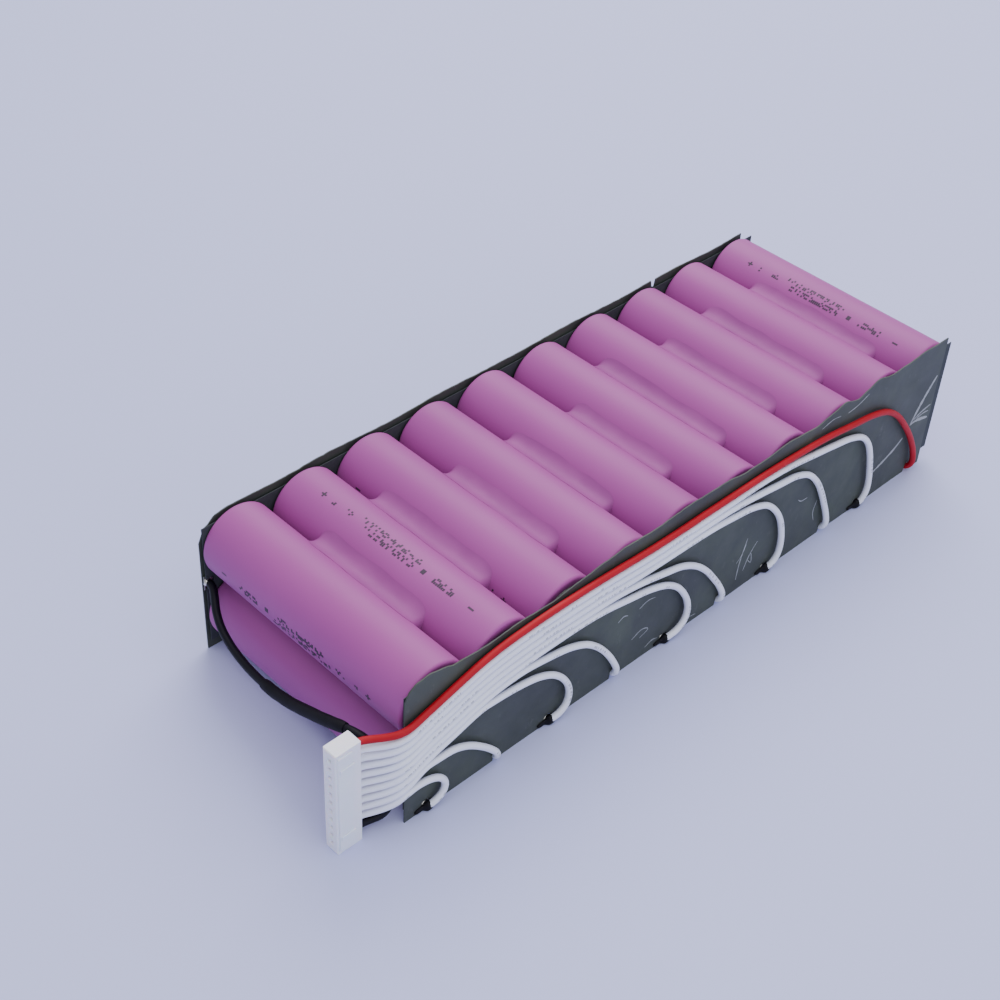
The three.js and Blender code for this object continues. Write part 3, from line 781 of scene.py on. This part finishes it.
# scratches on the front paper, as the width of the stroke and its x and z points
SCRATCHES = [
    (1.3, [(87.2, 28.8), (84.9, 25.6), (82, 21.2), (79.4, 16.9)]),
    (1.1, [(79.2, 16.8), (81.6, 17), (84.4, 16.4), (87.3, 15.5)]),
    (0.7, [(80.6, 17.8), (83.6, 18.9), (87.4, 19.5)]), (0.55, [(82, 17.6), (84.8, 18), (87, 17.7)]),
    (1.1, [(77.1, 13.8), (74.4, 11.9), (71, 10.2), (65.6, 8.1)]),
    (0.4, [(13, 3.7), (13.4, 8.2), (14.2, 12), (15.2, 15.7)]),
    (0.35, [(15.4, 5.2), (17.2, 9.5), (19.4, 12.4)]),
    (0.3, [(16.6, 8), (18.2, 6.2), (17.4, 9.8), (16.2, 7.6)]), (0.3, [(12.2, 9.4), (13.8, 11), (15, 14)]),
    (0.35, [(33.8, 17.1), (35.2, 16), (37.6, 15.8)]), (0.3, [(-22.8, 17), (-20, 17.8), (-17.4, 17.2)]),
    (0.35, [(-24.2, 8.2), (-21, 9.4), (-18.6, 8.1), (-21.4, 6.9)]),
    (0.3, [(-19, 2.2), (-16.6, 3.1), (-14.8, 2.6)]),
    (0.3, [(-29.8, 17.2), (-28, 18), (-26.6, 17.4)]), (0.3, [(42.4, 5.8), (41.4, 9), (42.2, 12.4)]),
    (0.3, [(-3.8, 2.1), (-1.2, 1.6)]), (0.3, [(38, 36.6), (42, 37.4), (45, 37)]),
    (0.35, [(48, 36.4), (52, 36.9), (56, 38.2)]),
]


def scratch(width, points):
    """A flat stroke on the front paper, thinner towards its ends."""
    line = evenly(catmull([(x, 0, z) for x, z in points]), 0.6)
    rings = []
    for i, p in enumerate(line):
        ahead = (line[min(i + 1, len(line) - 1)] - line[max(i - 1, 0)]).normalized()
        across = Vector((-ahead.z, 0, ahead.x))
        share = i / (len(line) - 1)
        rough = 0.75 + 0.5 * noise.noise(Vector((p.x * 1.3, p.z * 1.3, 2.2)))
        half = width / 2 * rough * (0.35 + 0.65 * math.sin(math.pi * share) ** 0.5)
        ring = []
        for along, lift in ((-half, -0.05), (half, -0.05), (half, 0.03), (-half, 0.03)):
            q = p + across * along
            outer = paper_middle(-1, FRONT_SEED, q.x, q.z) - PAPER_THICK / 2
            ring.append((q.x, outer - lift, q.z))
        rings.append(ring)
    return loft(rings)


piece("front_paper_scratches", together([scratch(*s) for s in SCRATCHES]), [SCUFF])

# ---------------------------------------------------------------- solder, black pieces at the odd notches, and the sleeve


def blob(x, y, z, side, reach, seed):
    """A solder joint on a tab, which swells out to meet the wire. side is the way that it points along Y."""
    rings = []
    for share in (0, 0.15, 0.4, 0.65, 0.85, 1):
        radius = 1.15 * math.cos(0.5 * math.pi * 0.62 * share) * (1 if share < 1 else 0.55)
        ring = []
        for j in range(20):
            a = 2 * math.pi * j / 20
            r = radius * (1 + 0.14 * noise.noise(Vector((math.cos(a), math.sin(a), seed + share))))
            ring.append((x + r * math.cos(a), y + side * reach * share, z + side * 0.8 * r * math.sin(a)))
        rings.append(ring)
    return loft(rings)


joints = []
for tap, x in TAP_X.items():
    if tap % 2:
        joints.append(blob(x, -NICKEL_IN - 0.15, 1.1, -1, 0.55, tap))
    else:
        joints.append(blob(x, NICKEL_IN + 0.05, 1.15, -1, 0.9, tap))
joints.append(blob(BLACK_ROUTE[0][0], NICKEL_IN + 0.05, BLACK_ROUTE[0][2], -1, 0.9, 30))
piece("solder_joints", together(joints), [TIN], sharp=60)

BLACK_END_LEFT = -3.2  # the black piece runs from here to the right end on the next line, from the tap's x
BLACK_END_RIGHT = 1.1


def black_notch_end(x, seed):
    """A black piece round the end of an odd tap, with a flat tail to the left, which makes the paper's notch
    there dark.
    """
    rings = []
    for i in range(15):
        share = i / 14
        wrapped = max(0, min(1, (share - 0.45) / 0.3))
        wrapped = wrapped * wrapped * (3 - 2 * wrapped)
        tip = math.sqrt(min(1, 6 * share)) * math.sqrt(min(1, 8 * (1 - share)) if share > 0.9 else 1)
        tall = (0.7 + 0.62 * wrapped) * max(0.25, tip)
        deep = 0.3 + 0.7 * wrapped
        y = -PAPER_OUT - 0.2 - 0.35 * wrapped
        z = 0.95 + 0.3 * wrapped + 0.12 * noise.noise(Vector((3 * share, 0, seed)))
        ring = []
        for j in range(12):
            a = 2 * math.pi * j / 12
            edge = 1 + 0.08 * noise.noise(Vector((math.cos(a), math.sin(a), seed + 2 * share)))
            ring.append((x + BLACK_END_LEFT + (BLACK_END_RIGHT - BLACK_END_LEFT) * share,
                         y + deep * edge * math.cos(a), z + tall * edge * math.sin(a)))
        rings.append(ring)
    return loft(rings)


notch_ends = [black_notch_end(x, 50 + tap) for tap, x in TAP_X.items() if tap % 2]
# black pieces that make the odd taps' notches in the front paper dark
piece("black_notch_ends", together(notch_ends), [SLEEVE], sharp=60)

SLEEVE_WALL = 0.34


def make_sleeve():
    """A shrunk sleeve on the black wire, a hollow tube with a slightly uneven surface."""
    first, last = (round(8 * place) for place in SLEEVE_SPAN)
    line = evenly(catmull(BLACK_ROUTE)[first:last + 1], 0.8)
    bore = BLACK_DIAMETER / 2 + 0.03

    def outside(share, angle):
        end = min(share, 1 - share) * len(line)
        wrinkle = 0.06 * noise.noise(Vector((math.cos(angle), math.sin(angle), 9 * share)))
        return bore + SLEEVE_WALL * min(1, 0.55 + 0.3 * end) + wrinkle

    outer = tube_rings(line, outside, 20)
    inner = tube_rings(line, lambda share, angle: bore, 20)
    rings = [*outer, *inner[::-1], outer[0]]
    points, faces = loft(rings[:-1], caps=False)
    last_ring = (len(rings) - 2) * 20
    faces += [(last_ring + j, last_ring + (j + 1) % 20, (j + 1) % 20, j) for j in range(20)]
    return piece(
        "black_shrink_sleeve", (points, faces), [SLEEVE],
        stands_for=["black_wire_sleeve"],
    )


sleeve = make_sleeve()

# ---------------------------------------------------------------- connector

EDGE = 0.22  # width of the small bevel round each end of the housing
SOCKET = 0.95  # side of the square opening in front of each contact
CAVITY = (2.5, 2.2)  # y and z size of the openings that the wires go in at
FRONT_WALL = 0.9


def box_shape(low, high, bevel):
    """A box with its corners cut by a small bevel at the two ends of its X axis and along it."""
    (x0, y0, z0), (x1, y1, z1) = low, high

    def ring(x, inset):
        a, b, c, d = y0 + inset, y1 - inset, z0 + inset, z1 - inset
        k = bevel
        return [(x, a + k, c), (x, b - k, c), (x, b, c + k), (x, b, d - k),
                (x, b - k, d), (x, a + k, d), (x, a, d - k), (x, a, c + k)]

    return loft([ring(x0, bevel), ring(x0 + bevel, 0), ring(x1 - bevel, 0), ring(x1, bevel)])


def make_housing():
    """The nylon housing, with a stepped cavity right through it for each contact."""
    x0, x1 = HOUSING_LOW.x, HOUSING_HIGH.x
    y0 = HOUSING_Y - (HOUSING_HIGH.y - HOUSING_Y)
    y1 = HOUSING_HIGH.y
    pins = [FIRST_PIN + PIN_PITCH * pin for pin in range(11)]
    levels = [HOUSING_LOW.z] + [z - PIN_PITCH / 2 for z in pins] + [pins[-1] + PIN_PITCH / 2, HOUSING_HIGH.z]
    points, faces = [], []

    def outline(x, inset):
        """Points up the front side and up the back side, with their first and last drawn in."""
        first = len(points)
        for y in (y0 + inset, y1 - inset):
            for i, z in enumerate(levels):
                z += inset if i == 0 else -inset if i == len(levels) - 1 else 0
                points.append((x, y, z))
        return first

    n = len(levels)
    outlines = [outline(x0, EDGE), outline(x0 + EDGE, 0), outline(x1 - EDGE, 0), outline(x1, EDGE)]
    for a, b in zip(outlines, outlines[1:]):
        for i in range(n - 1):
            faces.append((a + i, b + i, b + i + 1, a + i + 1))
            faces.append((a + n + i, a + n + i + 1, b + n + i + 1, b + n + i))
        faces.append((a, a + n, b + n, b))
        faces.append((a + n - 1, b + n - 1, b + 2 * n - 1, a + 2 * n - 1))

    def square(x, z, wide, tall):
        first = len(points)
        for dy, dz in ((-1, -1), (1, -1), (1, 1), (-1, 1)):
            points.append((x, HOUSING_Y + dy * wide / 2, z + dz * tall / 2))
        return first

    def tile(corners, hole, turned):
        for j in range(4):
            k = (j + 1) % 4
            face = (corners[j], corners[k], hole + k, hole + j)
            faces.append(face[::-1] if turned else face)

    near, far = outlines[0], outlines[-1]
    for pin, z in enumerate(pins):
        i = pin + 1
        near_corners = (near + i, near + n + i, near + n + i + 1, near + i + 1)
        far_corners = (far + i, far + n + i, far + n + i + 1, far + i + 1)
        holes = [
            square(x0, z, SOCKET + 0.3, SOCKET + 0.3), square(x0 + 0.25, z, SOCKET, SOCKET),
            square(x0 + FRONT_WALL, z, SOCKET, SOCKET), square(x0 + FRONT_WALL, z, *CAVITY),
            square(x1, z, *CAVITY),
        ]
        tile(near_corners, holes[0], True)
        tile(far_corners, holes[-1], False)
        for a, b in zip(holes, holes[1:]):
            for j in range(4):
                k = (j + 1) % 4
                faces.append((a + j, b + j, b + k, a + k)[::-1])
    for first, turned in ((near, True), (far, False)):
        for i in (0, n - 2):
            face = (first + i, first + n + i, first + n + i + 1, first + i + 1)
            faces.append(face[::-1] if turned else face)

    # raised key plate and ribs on the outer face, as on the CAD housing
    plate = box_shape((x0 + 0.4, y0 - 0.3, 0.9), (x0 + 4.2, y0 + 0.4, HOUSING_HIGH.z - 0.9), 0.15)
    ribs = [
        box_shape((x0 + 0.8, y0 - 0.5, z - 0.6), (x1 - 2, y0 + 0.4, z + 0.6), 0.14)
        for z in (4.9, HOUSING_HIGH.z - 4.9)
    ]
    shape = together([(points, faces), plate, *ribs])
    return piece("harness_connector", shape, [NYLON], stands_for=["connector_housing"])


def make_crimp(pin):
    """A folded contact: a square socket, a neck, and wings closed round the end of the wire."""
    z = FIRST_PIN + PIN_PITCH * pin
    low, high = span_of(f"contact_{pin + 1:02d}")

    def ring(x, wide, tall, corner):
        a, b = wide / 2 - corner, tall / 2 - corner
        turned = []
        for cy, cz, start in ((a, b, 0), (-a, b, 90), (-a, -b, 180), (a, -b, 270)):
            for degrees in (0, 30, 60, 90):
                t = math.radians(start + degrees)
                turned.append((x, HOUSING_Y + cy + corner * math.cos(t), z + cz + corner * math.sin(t)))
        return turned

    stations = [
        (0, 1.3, 1.1, 0.15), (0.1, 1.5, 1.3, 0.2), (2.0, 1.5, 1.3, 0.2), (2.15, 1.05, 0.85, 0.3),
        (2.55, 1.0, 0.8, 0.3), (2.7, 1.45, 1.3, 0.5), (3.2, 1.4, 1.25, 0.55), (3.3, 1.1, 1, 0.45),
        (3.45, 1.1, 1, 0.45), (3.55, 1.55, 1.38, 0.6), (high.x - low.x, 1.5, 1.35, 0.6),
    ]
    rings = [ring(low.x + dx, wide, tall, corner) for dx, wide, tall, corner in stations]
    name = f"contact_{pin + 1:02d}"
    return piece(f"crimp_{pin + 1:02d}", loft(rings), [TIN], stands_for=[name])


housing = make_housing()
crimps = [make_crimp(pin) for pin in range(11)]

# ---------------------------------------------------------------- gasket sheets and nickel plates

for name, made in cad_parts.items():
    if "gasket" in name:
        made.data.materials.clear()
        made.data.materials.append(GASKET)
    elif name.startswith("nickel"):
        made.data.materials.clear()
        made.data.materials.append(NICKEL)

# ---------------------------------------------------------------- floor and light


def make_floor():
    half = 2000
    shape = [(-half, -half, 0), (half, -half, 0), (half, half, 0), (-half, half, 0)], [(0, 1, 2, 3)]
    look = Look("floor", {"Roughness": 0.7, "Specular IOR Level": 0.2})
    cloud = look.noise(3, (1, 1, 1), 2)
    look.wear("Base Color", look.ramp(cloud, [(0.3, (0.525, 0.550, 0.86)), (0.7, (0.54, 0.565, 0.875))]))
    points, faces = shape
    mesh = bpy.data.meshes.new("floor")
    mesh.from_pydata([Vector(p) * MM for p in points], [], faces)
    mesh.materials.append(look.material)
    floor = bpy.data.objects.new("floor", mesh)
    bpy.context.scene.collection.objects.link(floor)


def soft_box(name, place, aim, width, height, power, colour):
    data = bpy.data.lights.new(name, "AREA")
    data.shape = "RECTANGLE"
    data.size = width * MM
    data.size_y = height * MM
    data.energy = power
    data.color = colour
    light = bpy.data.objects.new(name, data)
    bpy.context.scene.collection.objects.link(light)
    place, aim = Vector(place), Vector(aim)
    turn = (aim - place).to_track_quat("-Z", "Y").to_matrix().to_4x4()
    light.matrix_world = Matrix.Translation(place * MM) @ turn


make_floor()
soft_box("key_light", (560, 420, 760), (0, 0, 20), 800, 800, 9, (1, 0.99, 0.98))
soft_box("top_light", (-80, -160, 900), (-20, 0, 20), 1000, 800, 5.5, (0.96, 0.97, 1))
soft_box("front_light", (-180, -800, 330), (-10, 0, 20), 900, 500, 1.6, (0.97, 0.98, 1))
world = bpy.data.worlds.new("studio")
world.use_nodes = True
world.node_tree.nodes["Background"].inputs["Color"].default_value = (0.86, 0.89, 1, 1)
world.node_tree.nodes["Background"].inputs["Strength"].default_value = 0.7
bpy.context.scene.world = world
